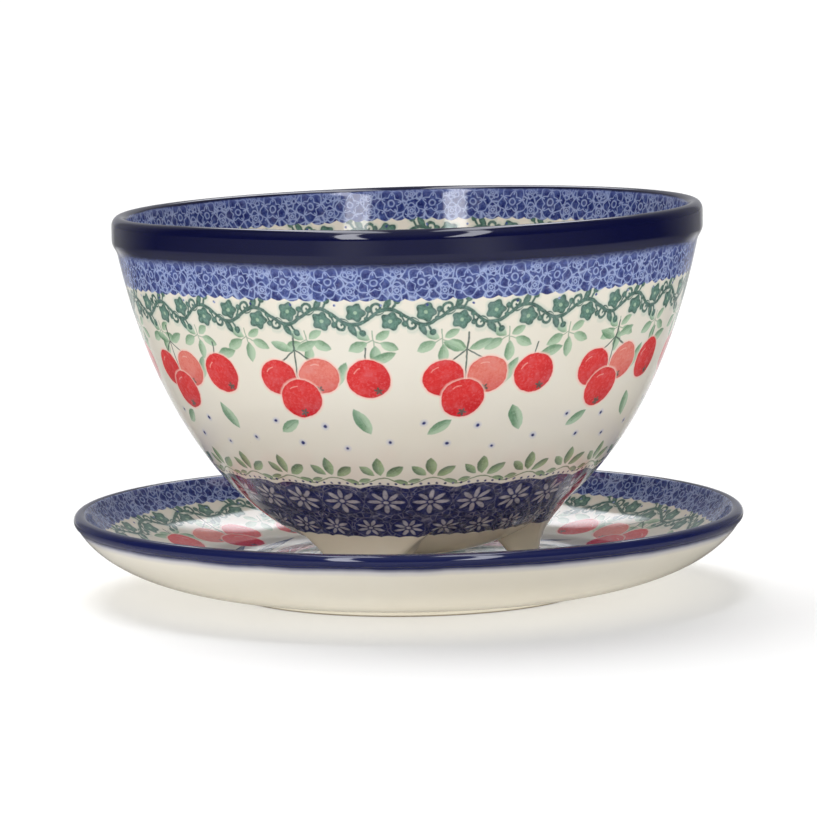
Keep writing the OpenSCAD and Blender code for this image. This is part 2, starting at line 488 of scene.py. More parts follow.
place = gathered(bowl.data.vertices, "co") / MM
above = place[:, 2] - WARP_FROM
swell = np.exp(-((np.degrees(np.arctan2(place[:, 0], -place[:, 1])) - SWELL_AT) / SWELL_WIDE) ** 2)
rise = KILN_TILT * place[:, 0] + KILN_SWELL * swell
place[:, 2] += rise * np.clip(above / (BOWL_TOP - WARP_FROM), 0, 1)
place[:, 0] += KILN_LEAN * np.clip(above / LEAN_OVER, 0, 1)
bowl.data.vertices.foreach_set("co", (place * MM).ravel())
bowl.data.update()
print("the rim rises and sinks by", round(KILN_TILT * RIM_R, 2), "mm")


# %% [markdown]
# The painted bands are drawn by sums. Every motif is a distance: how far a
# point lies from the edge of a leaf, a petal or a line. A distance turns into a
# soft-edged mask, and a mask lays one paint over another. A small class lets an
# ordinary Python sum write the Math nodes.

# %% Sums that write nodes
class Ink:
    """A number in a node tree that can stand in an ordinary sum."""

    def __init__(self, socket):
        self.socket = socket
        self.tree = socket.id_data

    def do(self, operation, *others, clamp=False):
        node = self.tree.nodes.new("ShaderNodeMath")
        node.operation = operation
        node.use_clamp = clamp
        for place, value in zip(node.inputs, (self,) + others):
            feed(place, value)
        return Ink(node.outputs[0])

    __add__ = partialmethod(do, "ADD")
    __sub__ = partialmethod(do, "SUBTRACT")
    __mul__ = partialmethod(do, "MULTIPLY")
    __truediv__ = partialmethod(do, "DIVIDE")
    __abs__ = partialmethod(do, "ABSOLUTE")


def feed(place, value):
    """Give an input socket a number, a colour or a link."""
    if isinstance(value, Ink):
        value = value.socket
    if isinstance(value, bpy.types.NodeSocket):
        value.id_data.links.new(value, place)
    elif isinstance(value, tuple) and len(value) == 3 and place.type == "RGBA":
        place.default_value = (*value, 1)
    else:
        place.default_value = value


def fed(node, **values):
    """A node with some of its inputs set or linked, each by its label."""
    for label, value in values.items():
        feed(node.inputs[label.replace("_", " ")], value)
    return node


def split(socket):
    """The three parts of a place or of a colour."""
    kind = "XYZ" if socket.type == "VECTOR" else "Color"
    node = socket.id_data.nodes.new("ShaderNodeSeparate" + kind)
    feed(node.inputs[0], socket)
    return [Ink(part) for part in node.outputs]


def lesser(first, *others):
    for other in others:
        first = first.do("MINIMUM", other)
    return first


def greater(first, *others):
    for other in others:
        first = first.do("MAXIMUM", other)
    return first


def far(x, y):
    """Distance of the point x, y from the middle."""
    return (x * x + y * y).do("SQRT")


def ringed(x, y):
    """The point x, y as its distance and its angle round the middle."""
    return far(x, y), y.do("ARCTAN2", x)


def moved(x, y, at_x, at_y, degrees_turned=0):
    """The point x, y seen from a motif that is placed and turned."""
    c, s = cos(radians(degrees_turned)), sin(radians(degrees_turned))
    across = x.do("MULTIPLY_ADD", c, y.do("MULTIPLY_ADD", s, -at_x * c - at_y * s))
    up = y.do("MULTIPLY_ADD", c, x.do("MULTIPLY_ADD", -s, at_x * s - at_y * c))
    return across, up


def mask(distance, soft):
    """1 inside a shape and 0 outside, over a soft edge in millimetres."""
    return distance.do("MULTIPLY_ADD", -1 / soft, 0.5, clamp=True)


def share(value, low, high):
    """0 at low and 1 at high, and clamped beyond them."""
    return value.do("MULTIPLY_ADD", 1 / (high - low), -low / (high - low), clamp=True)


def mixed(factor, first, second):
    """The first colour where the factor is 0, and the second where it is 1."""
    node = factor.tree.nodes.new("ShaderNodeMix")
    node.data_type = "RGBA"
    feed(node.inputs[0], factor)
    feed(node.inputs[6], first)
    feed(node.inputs[7], second)
    return node.outputs[2]


def stained(factor, first, second):
    """The first colour seen through the second, as far as the factor says."""
    colour = mixed(factor, first, second)
    colour.node.blend_type = "MULTIPLY"
    return colour


def paint(red, green, blue):
    """A paint from its red, green and blue as a screen shows them, 0 to 255."""
    return tuple((c / 255 / 12.92) if c < 10.3 else ((c / 255 + 0.055) / 1.055) ** 2.4
                 for c in (red, green, blue))


# %% [markdown]
# What several glazes share is a node group with named inputs and outputs. This
# class builds one, and sizes its textures in millimetres.

# %% Node groups
class Group:
    """A shader node group under construction."""

    def __init__(self, name, inputs, outputs):
        self.tree = bpy.data.node_groups.new(name, "ShaderNodeTree")
        for label, value in inputs.items():
            kind = "NodeSocketColor" if isinstance(value, tuple) else "NodeSocketFloat"
            socket = self.tree.interface.new_socket(label, in_out="INPUT", socket_type=kind)
            socket.default_value = (*value, 1) if isinstance(value, tuple) else value
        for label in outputs:
            kind = "NodeSocketColor" if label == "Colour" else "NodeSocketFloat"
            self.tree.interface.new_socket(label, in_out="OUTPUT", socket_type=kind)
        self.start = self.tree.nodes.new("NodeGroupInput")
        self.end = self.tree.nodes.new("NodeGroupOutput")

    def __getitem__(self, label):
        return Ink(self.start.outputs[label])

    def __setitem__(self, label, value):
        feed(self.end.inputs[label], value)

    def __repr__(self):
        return f"{self.tree.name}: {len(self.tree.nodes)} nodes"

    def texture(self, kind, width, **values):
        """A texture on Object coordinates, with its features width mm wide."""
        node = self.tree.nodes.new("ShaderNodeTex" + kind)
        place = self.tree.nodes.new("ShaderNodeTexCoord").outputs["Object"]
        return fed(node, Vector=place, Scale=1000 / width, **values)

    def noise(self, width, detail=2, roughness=0.5):
        """Noise from 0 to 1 with features width mm wide."""
        return Ink(self.texture("Noise", width, Detail=detail, Roughness=roughness).outputs["Fac"])

    def net(self, width):
        """Distance to the nearest line of a net with cells width mm wide."""
        node = self.texture("Voronoi", width)
        node.feature = "DISTANCE_TO_EDGE"
        return Ink(node.outputs["Distance"]) * width


def placed(tree, group, **values):
    """One use of a group in a tree, with its inputs set or linked."""
    node = tree.nodes.new("ShaderNodeGroup")
    node.node_tree = group.tree
    return fed(node, **values)


# %% [markdown]
# A stamped and brushed band is never quite straight. This group shifts each
# point by a fraction of a millimetre before any motif is drawn, and gives a
# slow change of strength for the paint, as from a brush that is running dry.

# %% The hand that paints
def object_place(tree):
    """The x, y and z of Object coordinates, in millimetres."""
    return [part * 1000 for part in split(tree.nodes.new("ShaderNodeTexCoord").outputs["Object"])]


HAND_SHIFT = 1.5
hand = Group("hand of the painter", {"Down": 0.0}, ("Turn", "Down", "Radius", "Strength"))
x, y, _ = object_place(hand.tree)
radius = far(x, y)
turn = x.do("ARCTAN2", y * -1) * (1 / (2 * pi))
shifts = split(hand.texture("Noise", 7, Detail=3, Roughness=0.62).outputs["Color"])
sideways = (shifts[0] - 0.5) * HAND_SHIFT
hand["Turn"] = turn + sideways / greater(radius, 5) * (1 / (2 * pi))
hand["Down"] = hand["Down"] + (shifts[1] - 0.5) * HAND_SHIFT
hand["Radius"] = radius
hand["Strength"] = hand.noise(16, 4, 0.65)
print(hand)

BAND_INPUTS = {"Ground": (0.8, 0.8, 0.8), "Turn": 0, "Down": 0, "Radius": 60, "Strength": 0.5,
               "Repeats": 10, "Start": 0}


def band(name, **more):
    """A painted band, with the point seen from the middle of one repeat."""
    group = Group(name, {**BAND_INPUTS, **more}, ("Colour",))
    pitch = group["Radius"] * (2 * pi) / group["Repeats"]
    x = ((group["Turn"] * group["Repeats"]).do("FRACT") - 0.5) * pitch
    return group, x, group["Start"] - group["Down"], pitch


# %% [markdown]
# Every leaf is the overlap of two circles. The distance to that shape is short
# to write: fold the leaf over its midrib, step sideways, and measure from the
# circle's centre. The midrib is drawn lighter than the blade.

# %% Leaves, lines and dots
LEAF_DARK = paint(104, 148, 112)
LEAF_LIGHT = paint(178, 205, 176)


def leaf(x, y, at_x, at_y, turn, half, width):
    """Distance to a pointed leaf, and its own across and along."""
    along, across = moved(x, y, at_x, at_y, turn)
    bow = (half * half - width * width) / (2 * width)
    return far(along, abs(across) + bow) - (bow + width), along, across


def laid_leaves(ground, strength, x, y, places, dark=LEAF_DARK, light=LEAF_LIGHT, rib=None):
    """Brushed leaves over a ground: darker to one side, with a drawn midrib."""
    for place in places:
        edge, along, across = leaf(x, y, *place)
        shade = across.do("MULTIPLY_ADD", 0.5, along.do("MULTIPLY_ADD", 0.06, strength), clamp=True)
        line = mask(greater(abs(across) - 0.05, abs(along) - 1.9), 0.32) * 0.6
        body = mixed(line, mixed(shade, light, dark), rib or light)
        ground = mixed(mask(edge, 0.3) * 0.94, ground, body)
    return ground


def dash(x, y, start, end, half):
    """Distance to a line from start to end that is twice half wide."""
    pale_edge_and_sheen = (end[0] - start[0], end[1] - start[1])
    length = hypot(*pale_edge_and_sheen)
    along, across = moved(x, y, *start, degrees(atan2(pale_edge_and_sheen[1], pale_edge_and_sheen[0])))
    beyond = along - along.do("MAXIMUM", 0).do("MINIMUM", length)
    return far(beyond, across) - half


def dot(x, y, at_x, at_y, r):
    """Distance to a round dot."""
    return far(*moved(x, y, at_x, at_y)) - r


def nearest_of(shape, x, y, *places):
    """Distance to the nearest of several lines or dots."""
    return lesser(*[shape(x, y, *place) for place in places])


# %% [markdown]
# The blue band under the rim is a lace of pale lines on cobalt: line blossoms
# over a net of little cells. The net comes from a Voronoi texture in three
# dimensions, so it has no seam round the pot.

# %% Blue lace band
COBALT_DEEP = paint(24, 32, 104)
COBALT_WASH = paint(84, 104, 170)
LACE = paint(166, 182, 222)

lace, x, y, _ = band("blue lace band", Height=10.6)
y = y + lace["Height"] * 0.5


def line_blossom(x, y, at, size, petals, turn):
    """Distance to the outline of a line blossom, and to its nearest line."""
    r, angle = ringed(*moved(x, y, *at))
    wave = angle.do("MULTIPLY_ADD", petals, turn).do("COSINE") * size
    rim = r - size * 0.88
    edge = wave.do("MULTIPLY_ADD", -0.14, rim)
    inner = abs(wave.do("MULTIPLY_ADD", 0.12, r - size * 0.52))
    eye = abs(r - size * 0.2)
    parting = abs(angle.do("MULTIPLY_ADD", petals / 2, turn / 2).do("COSINE")) * r * (2 / petals)
    parting = greater(parting, r * -1 + size * 0.5, rim)
    return edge, lesser(abs(edge), inner, eye, parting)


edges, lines = zip(
    line_blossom(x, y, (-2.2, 0.1), 4.8, 5, 0.9),
    line_blossom(x, y, (4.3, -2.5), 2.5, 4, 0.4),
    line_blossom(x, y, (4.4, 3.1), 2.1, 5, 0.0),
)
net = greater(lace.net(3.5), *[edge * -1 for edge in edges])
lines = lesser(net, *lines)
line = mask(lines - 0.19, 0.32)
cloud = share(lace.noise(1.7, 3, 0.6), 0.36, 0.66)
glow = share(lines, 0.9, 0.2)
wash = mixed(cloud * 0.6 + glow * 0.2 + lace["Strength"] * 0.1, COBALT_DEEP, COBALT_WASH)
blue = mixed(line * 0.9, wash, LACE)
scallop = abs((x * (pi / 4.5)).do("COSINE")) * 0.8
low_edge = (y + lace["Height"] * 0.5 + scallop - 0.4) * -1
spots = dot(x, y, -0.6, -6.9, 0.4)
lace["Colour"] = mixed(greater(mask(low_edge, 0.25), mask(spots, 0.3)), lace["Ground"], blue)
print(lace)


# %% [markdown]
# The green vine swings up and down once in each repeat. Its lower half is its
# upper half turned over, so one half is drawn and the other is a glide: half a
# repeat along, and upside down.

# %% Green vine band
VINE_DARK = paint(30, 68, 66)
VINE_LIGHT = paint(96, 142, 126)
VINE_HALO = paint(176, 200, 186)

vine, x, y, pitch = band("green vine band")
stem_y = ((x / pitch) * (2 * pi)).do("SINE") * 2.4
stem = abs(y - stem_y) * 0.8 - 0.5
side = vine["Turn"] * vine["Repeats"]
lower = side.do("FRACT").do("LESS_THAN", 0.5)
flip = lower * -2 + 1
half_x = ((side * 2).do("FRACT") - 0.5) * pitch * 0.5
half_y = y * flip
r, angle = ringed(*moved(half_x, half_y, 0.7, -1.3))
clover = (angle * 5).do("COSINE").do("MULTIPLY_ADD", -0.36, r) - 2.7
eye = r - 0.55
r, angle = ringed(*moved(half_x, half_y, -3.2, 2.5))
turns = (angle.do("MULTIPLY_ADD", -1 / (2 * pi), r * (1 / 1.7))).do("FRACT") - 0.5
curl = greater(abs(turns) * 1.7 - 0.42, r - 2.2)
sprout = nearest_of(dash, half_x, half_y, ((1.2, 2.3), (2.4, 4.4), 0.34), ((3.4, 1.3), (4.4, -1.6), 0.3))
buds = nearest_of(dot, half_x, half_y, (2.7, 4.9, 1.0), (4.5, -2.2, 0.95), (3.9, 0.5, 0.8))
blade = leaf(half_x, half_y, -0.2, 3.8, 62, 2.3, 1.0)[0]
shape = lesser(stem, clover, curl, sprout, buds, blade)
grain = share(vine.noise(1.6), 0.3, 0.7)
depth = share(shape, -0.1, -1.1) * 0.45
green = mixed(grain * 0.4 + vine["Strength"] * 0.2 + depth, VINE_DARK, VINE_LIGHT)
halo = mixed(mask(shape - 0.5, 1.1) * 0.5, vine["Ground"], VINE_HALO)
ground = mixed(mask(shape, 0.3) * 0.96, halo, green)
vine["Colour"] = mixed(mask(eye, 0.3) * 0.75, ground, LEAF_LIGHT)
print(vine)

# %% [markdown]
# Sprigs are drawn as on the pot: first the twig in thin lines, then the leaves
# over it, each one a place, a turn, half its length and half its width.

# %% Pale sprigs that hang under the vine
sprigs, x, y, _ = band("pale hanging sprigs")
twig = nearest_of(dash, x, y, ((0.2, 4.6), (0.6, 0.0), 0.17), ((0.4, 2.0), (-2.2, 0.6), 0.15),
                  ((0.5, 1.6), (2.8, 0.8), 0.15))
colour = mixed(mask(twig, 0.25) * 0.7, sprigs["Ground"], LEAF_DARK)
sprigs["Colour"] = laid_leaves(colour, sprigs["Strength"] * 0.7, x, y, (
    (-4.1, -0.3, 28, 3.0, 1.55), (0.8, -2.8, 88, 3.1, 1.55), (4.9, 0.0, -24, 2.9, 1.45),
    (-2.6, 3.2, 150, 2.5, 1.25), (3.2, 3.4, 32, 2.4, 1.2)))
print(sprigs)


# %% [markdown]
# The berries hang in bunches of three, with one more beside each bunch. Each
# one is a disc of strong red or thin coral paint that pools towards one side,
# with a scratched pale highlight and a small dark star where the flower was.

# %% Berry row
RED = paint(224, 48, 48)
RED_POOL = paint(196, 26, 38)
CORAL = paint(232, 128, 114)
CORAL_POOL = paint(212, 78, 74)
BLUSH = paint(250, 206, 194)
STALK = paint(58, 84, 74)

berries, x, y, _ = band("berry row")


def laid_berry(ground, strength, x, y, at, r, thin, pool, tilt):
    """A berry over a ground, with its rim, its pool, its highlight and its star."""
    across, up = moved(x, y, *at, tilt)
    away, angle = ringed(across, up * 1.06)
    edge = (angle * 2 + tilt).do("COSINE").do("MULTIPLY_ADD", 0.16, away) - r
    shade = share(across * 0.5 - up * 0.85 + strength * 3, r * 0.1, r * 1.5)
    body = mixed(shade * 0.8, thin, pool)
    arc_r, arc_angle = ringed(*moved(across, up, -0.12 * r, 0.02 * r))
    glint = greater(abs(arc_r - r * 0.58) - 0.13, abs(arc_angle - 2.0) * r * 0.58 - 1.3)
    body = mixed(mask(glint, 0.3) * 0.6, body, BLUSH)
    star_r, star_angle = ringed(*moved(across, up, 0.12 * r, -0.72 * r))
    star = star_r - abs((star_angle * 2.5).do("COSINE")) * 0.95 - 0.35
    body = mixed(mask(star, 0.3) * 0.85, body, STALK)
    body = mixed(share(edge, -0.5, -0.15) * 0.35, body, pool)
    halo = mixed(mask(edge - 0.5, 0.7) * 0.8, ground, BLUSH)
    return mixed(mask(edge, 0.28), halo, body)


strength = berries["Strength"]
stalks = nearest_of(
    dash, x, y, ((-7.6, 13.5), (-7.8, 8.6), 0.3), ((-7.8, 8.6), (-12.4, 4.6), 0.24),
    ((-7.8, 8.6), (-2.4, 5.2), 0.24), ((-7.8, 8.6), (-7.4, -2.0), 0.24),
    ((13.6, 9.5), (13.0, 5.4), 0.24))
colour = mixed(mask(stalks, 0.25) * 0.9, berries["Ground"], STALK)
colour = laid_leaves(colour, strength * 0.9, x, y, (
    (-11.6, 9.6, 158, 3.6, 1.35), (-3.8, 9.9, 22, 3.6, 1.35), (18.2, 6.4, 18, 4.2, 1.6),
    (5.6, 1.0, 64, 4.6, 1.7)))
for at, r, thin, pool, tilt in (
        ((-13.8, -0.4), 6.0, RED, RED_POOL, 12), ((-1.0, 0.3), 6.0, CORAL, CORAL_POOL, -18),
        ((-7.6, -7.1), 6.4, RED, RED_POOL, -6), ((13.4, -0.2), 6.4, RED, RED_POOL, 20)):
    colour = laid_berry(colour, strength, x, y, at, r, thin, pool, tilt)
berries["Colour"] = colour
print(berries)

# %% [markdown]
# Below the berries the cream is nearly bare, with falling leaves and dots of
# cobalt. Each dot bleeds a little into the glaze, so it has a pale halo.

# %% Loose leaves and blue dots
SPOT = paint(48, 56, 112)
SPOT_HALO = paint(190, 194, 218)

loose, x, y, _ = band("loose leaves and dots")
colour = laid_leaves(loose["Ground"], loose["Strength"] * 0.9, x, y, (
    (9.5, -1.0, 112, 4.7, 2.1), (-13.0, -3.2, 38, 3.9, 1.7)), rib=paint(74, 116, 86))
spots = nearest_of(dot, x, y, (-17.5, -1.5, 0.5), (-2.0, -2.8, 0.55), (-10.0, -9.0, 0.6),
                   (16.5, -8.0, 0.5), (3.5, -10.5, 0.45))
colour = mixed(mask(spots - 0.5, 0.9) * 0.6, colour, SPOT_HALO)
loose["Colour"] = mixed(mask(spots, 0.35), colour, SPOT)
print(loose)

# %% [markdown]
# A garland of moss green leaves stands on the dark band. Its stem is one cosine
# that sags between the leaves, so every repeat joins the next.

# %% Leaf garland
MOSS = paint(112, 138, 92)
MOSS_DARK = paint(84, 118, 84)
MOSS_LIGHT = paint(158, 184, 140)

garland, x, y, pitch = band("leaf garland")
wave = ((x / pitch) * (2 * pi)).do("COSINE") * 1.2
stem = abs(y - wave + 1.4) * 0.85 - 0.2
colour = mixed(mask(stem, 0.25) * 0.85, garland["Ground"], MOSS)
garland["Colour"] = laid_leaves(colour, garland["Strength"], x, y, (
    (-0.9, 4.2, 98, 3.4, 1.6), (3.6, 2.4, 38, 3.2, 1.5), (-4.3, 2.7, 138, 2.8, 1.25),
    (5.4, -1.5, -16, 2.2, 0.9), (-5.4, -1.0, 14, 1.9, 0.85)), MOSS_DARK, MOSS_LIGHT)
print(garland)


# %% [markdown]
# The dark band at the foot of the wall is stamped: pale flowers of eight petals
# are left bare in dark blue, large ones above and small ones between them
# below, with a net of bare cracks around them.

# %% Dark flower band
INK_DEEP = paint(18, 20, 72)
INK_WASH = paint(50, 58, 126)
BARE_PETAL = paint(196, 192, 198)

stamp, x, y, pitch = band("dark flower band", Height=25.0)


def bare_flower(x, y, size, petals, turn):
    """Distance to the flower's scalloped outline, and to its petals and eye."""
    r, angle = ringed(x, y)
    fold = (angle.do("MULTIPLY_ADD", petals / (2 * pi), turn).do("FRACT") - 0.5) * (2 * pi / petals)
    out, off = r * fold.do("COSINE"), r * fold.do("SINE")
    petal = (far((out - size * 0.6) * (1 / (size * 0.34)), off * (1 / (size * 0.13))) - 1) * size * 0.13
    edge = fold.do("COSINE").do("MULTIPLY_ADD", -size * 0.75, r) - size * 0.36
    return edge, lesser(petal, r - size * 0.13)


upper_edge, upper = bare_flower(x, y + 6.6, 5.6, 8, 0.5)
beside = ((stamp["Turn"] * stamp["Repeats"] + 0.5).do("FRACT") - 0.5) * pitch
lower_edge, lower = bare_flower(beside, y + stamp["Height"] - 5.6, 4.5, 8, 0.0)
cracks = greater(stamp.net(2.1) - 0.12, upper_edge * -1 + 0.3, lower_edge * -1 + 0.3)
outlines = lesser(abs(upper_edge - 0.15), abs(lower_edge - 0.15)) - 0.06
gaps = lesser(upper, lower, cracks, outlines)
grain = share(stamp.noise(2, 3), 0.35, 0.7)
dark = mixed(grain * 0.6 + stamp["Strength"] * 0.2, INK_DEEP, INK_WASH)
faint = lesser(upper, lower).do("LESS_THAN", 0.3) * 0.5 + grain * 0.5 + 0.1
colour = mixed(mask(gaps, 0.32) * faint, dark, BARE_PETAL)
top_edge = y + 0.5 - abs((x / pitch * pi).do("COSINE")) * 1.3
low_edge = (y + stamp["Height"] - abs((x / pitch * (2 * pi)).do("COSINE")) * 0.8) * -1
inside_band = mask(greater(top_edge, low_edge), 0.3)
fringe = abs((x / pitch * 6).do("FRACT") - 0.5) * pitch * 0.166
fringe = far(fringe, y - 1.35) - 0.42
stamp["Colour"] = mixed(greater(inside_band, mask(fringe, 0.3)), stamp["Ground"], colour)
print(stamp)


# %% [markdown]
# In the saucer's well a wreath of long feathery leaves lies in a slow swirl.
# The barbs are stripes that run out from the midrib at a slant.

# %% Feather wreath
FEATHER_DARK = paint(22, 30, 66)
FEATHER_LIGHT = paint(48, 62, 92)
BARB = paint(200, 206, 206)

wreath = Group("feather wreath", {**BAND_INPUTS, "Middle": 46.0}, ("Colour",))
out = wreath["Radius"] - wreath["Middle"]
swirl = wreath["Turn"] + out * 0.0055
pitch = wreath["Middle"] * (2 * pi) / wreath["Repeats"]
x = ((swirl * wreath["Repeats"]).do("FRACT") - 0.5) * pitch
edge, _, _ = leaf(out, x, 0, 0, 0, 21, 5.6)
barb = ((out * 0.5 + abs(x) * 0.9) * (2 * pi / 2.8)).do("SINE").do("MULTIPLY_ADD", 0.8, -0.1)
barb = barb * share(abs(x), 0.25, 0.9)
rib = mask(abs(x) - 0.22, 0.3)
depth = wreath["Strength"] * 0.5 + abs(x) * 0.12
blade = mixed(depth, FEATHER_DARK, FEATHER_LIGHT)
blade = mixed(greater(barb * 0.9, rib * 0.6), blade, BARB)
colour = mixed(mask(edge, 0.4) * 0.92, wreath["Ground"], blade)
beads = far(x, wreath["Radius"] - 25.0) - 1.0
rings = lesser(abs(wreath["Radius"] - 22.0) - 0.35, abs(wreath["Radius"] - 14.5) - 0.2)
angle = wreath["Turn"] * (2 * pi)
core_x, core_y = wreath["Radius"] * angle.do("COSINE"), wreath["Radius"] * angle.do("SINE")
core_edge, core = bare_flower(core_x, core_y, 11.0, 8, 0.5)
marks = lesser(beads, rings, greater(core_edge - 0.4, core * -1 + 0.2))
wreath["Colour"] = mixed(mask(marks, 0.35) * 0.85, colour, COBALT_DEEP)
print(wreath)


# %% [markdown]
# Underglaze paint is thin and grainy. Where it dries in specks it turns pale,
# and where it gathers it darkens. This group does both, and leaves the
# unpainted cream alone: how far the darkest of a colour's three parts lies below
# the cream tells how much paint there is.

# %% Grain of the paint
grainy = Group("grain of the paint", {"Paint": (0.8, 0.8, 0.8)}, ("Colour",))
painted = share(lesser(*split(grainy["Paint"].socket)), 0.6, 0.3)
fine, broad = grainy.noise(0.8, 3, 0.7), grainy.noise(3.6)
pooled = stained(share(fine * 0.6 + broad * 0.4, 0.5, 0.34) * painted * 0.35,
                 grainy["Paint"].socket, grainy["Paint"].socket)
pale = (share(fine, 0.5, 0.8) * 0.12 + share(broad, 0.5, 0.8) * 0.08) * painted
grainy["Colour"] = mixed(pale, pooled, paint(226, 228, 240))
print(grainy)

# %% [markdown]
# Over the paint lies a clear glaze. It clouds the paint here and there, it holds
# a few specks of iron, and its surface is not quite flat, so reflections in it
# waver. One group gives all that to every glaze.

# %% Clear glaze
IRON = paint(112, 92, 74)
SPECK_PITCH = 6.5
clear = Group("clear glaze", {"Paint": (0.8, 0.8, 0.8), "Specks": 0.5, "Waver": 1.0},
              ("Colour", "Roughness", "Height"))
cloud = share(clear.noise(34, 4), 0.3, 0.75)
colour = stained(cloud * 0.5, clear["Paint"].socket, paint(248, 244, 236))
speck = clear.texture("Voronoi", SPECK_PITCH)
small = Ink(speck.outputs["Distance"]) * SPECK_PITCH
chance, size, _ = split(speck.outputs["Color"])
few = chance.do("GREATER_THAN", 0.86)
spot = mask(small - size * 0.22 - 0.06, 0.16) * few * clear["Specks"]
clear["Colour"] = mixed(spot, colour, IRON)
film, swell, peel = clear.noise(5, 3), clear.noise(26, 1), clear.noise(1.1, 0)
clear["Roughness"] = film * 0.05 + 0.035
clear["Height"] = (swell + film * 0.12 + peel * 0.012 + spot * 0.02) * clear["Waver"]
print(clear)


# %% A glaze over any colour
def new_material(name):
    """A new material with its node tree and its shader."""
    material = bpy.data.materials.new(name)
    material.use_nodes = True
    return material, material.node_tree, material.node_tree.nodes["Principled BSDF"]


def glazed(name, colour_of, specks=0.5, waver=1.0):
    """A gloss glaze over a colour, which a function draws in the material's tree."""
    material, tree, shader = new_material(name)
    film = placed(tree, clear, Paint=colour_of(tree), Specks=specks, Waver=waver).outputs
    bump = fed(tree.nodes.new("ShaderNodeBump"), Strength=0.35, Distance=0.0002, Height=film["Height"])
    fed(shader, Base_Color=film["Colour"], Roughness=film["Roughness"], Normal=bump.outputs[0], IOR=1.55)
    return material


# %% [markdown]
# The dark rim glaze is dipped last, so its lower edge is soft and wanders a
# little over the painted bands. Under the saucer's lip it ends at a height, and
# on the painted sides it ends at a distance from the crest.

# %% The dipped edge
CREAM = paint(236, 231, 218)
# A warmer, lighter cream: painted warm bounce light for the underside and feet
BOUNCE_LIT_CREAM = paint(246, 236, 212)
RIM_NAVY = paint(13, 16, 55)
SAUCER_NAVY = paint(25, 31, 78)

dipped = Group("dipped rim edge", {"Ground": (0.8, 0.8, 0.8), "Dip": (0.1, 0.1, 0.3),
                                   "Down": 0.0, "Depth": 2.0, "Soft": 0.6}, ("Colour",))
waver = dipped.noise(18, 3) - 0.5
below = dipped["Down"] - dipped["Depth"] + waver * 1.2
covered = (below * -1 / dipped["Soft"]).do("ADD", 0.5, clamp=True)
# Just under the dark edge a paler blue lies over the ground; under the saucer's lip this pale line is a
# painted reflection of the white table
pale_edge_and_sheen = mixed(mask(below - 1.0, 1.9) * 0.5, dipped["Ground"], paint(104, 118, 178))
dipped["Colour"] = mixed(covered, pale_edge_and_sheen, dipped["Dip"])
print(dipped)


# %% How a painted side is built up
LIP_LOW_Z = 20.4


def hand_drawn(tree, dip, depth, soft, bounce_span, steps):
    """Lay painted bands over cream, one after another, and the dark rim glaze last.

    Over a pair of distances down the cream turns warmer and a little lighter,
    towards the feet: painted warm bounce light on the underside and feet. A step
    is a band, how often it repeats, where it starts and how high it is.
    """
    stored = tree.nodes.new("ShaderNodeAttribute")
    stored.attribute_name = "down"
    down = stored.outputs["Fac"]
    drawn = placed(tree, hand, Down=down).outputs
    # Painted warm bounce light: the cream grows warmer towards the feet
    colour = mixed(share(Ink(down), *bounce_span), CREAM, BOUNCE_LIT_CREAM)
    for group, *values in steps:
        own = dict(zip(("Repeats", "Start", "Height"), values))
        colour = placed(tree, group, Ground=colour, **own, **{part.name: part for part in drawn}).outputs[0]
    colour = placed(tree, grainy, Paint=colour).outputs["Colour"]
    return placed(tree, dipped, Ground=colour, Dip=dip, Depth=depth, Soft=soft, Down=down).outputs["Colour"]


def cream_and_lip(tree):
    """Plain cream with the dark glaze above the bottom of the saucer's lip."""
    _, _, z = object_place(tree)
    return placed(tree, dipped, Ground=CREAM, Dip=SAUCER_NAVY, Depth=-LIP_LOW_Z, Soft=1.2,
                  Down=z * -1).outputs["Colour"]


# %% The bands of each side
def to_radius(r):
    """How far down the saucer's upper side it is to a radius."""
    return float(np.interp(-r, -over_line[:, 0], travelled(over_line)))


outside_steps = ((loose, 10, 48), (garland, 26, 69.6), (stamp, 26, 73.4, 25.1),
                 (sprigs, 26, 24.5), (berries, 10, 34.5), (vine, 26, 15.6), (lace, 40, 0))
inside_steps = ((sprigs, 26, 25.4), (berries, 10, 35.4), (vine, 26, 16.5), (lace, 40, 1.4, 10.1))
lace_end = to_radius(92)
saucer_steps = ((wreath, 22), (sprigs, 26, to_radius(80)), (berries, 10, to_radius(76.5)),
                (vine, 26, to_radius(88.3)), (lace, 44, 0.2, lace_end - 0.2))
print("the saucer's lace ends", round(lace_end, 1), "mm from its crest")

# %% The glazes
# Distances that are further down than any section reaches
NOWHERE = (900, 901)

# From 92 to 101 mm down the outside the cream turns to painted warm bounce light
painted_outside = glazed("painted outside glaze", lambda tree: hand_drawn(
    tree, RIM_NAVY, 1.0, 2.2, (92, 101), outside_steps))
painted_inside = glazed("painted inside glaze", lambda tree: hand_drawn(
    tree, RIM_NAVY, 2.3, 0.6, NOWHERE, inside_steps))
painted_saucer = glazed("painted saucer glaze", lambda tree: hand_drawn(
    tree, SAUCER_NAVY, -0.6, 0.7, NOWHERE, saucer_steps))
lipped_glaze = glazed("cream glaze under a dark lip", cream_and_lip)
band_glaze = glazed("dark rim glaze", lambda tree: RIM_NAVY, specks=0, waver=0.6)

bare_clay, _, shader = new_material("bare clay")
fed(shader, Base_Color=paint(206, 186, 156), Roughness=0.85)
print("glazes:", [material.name for material in bpy.data.materials])

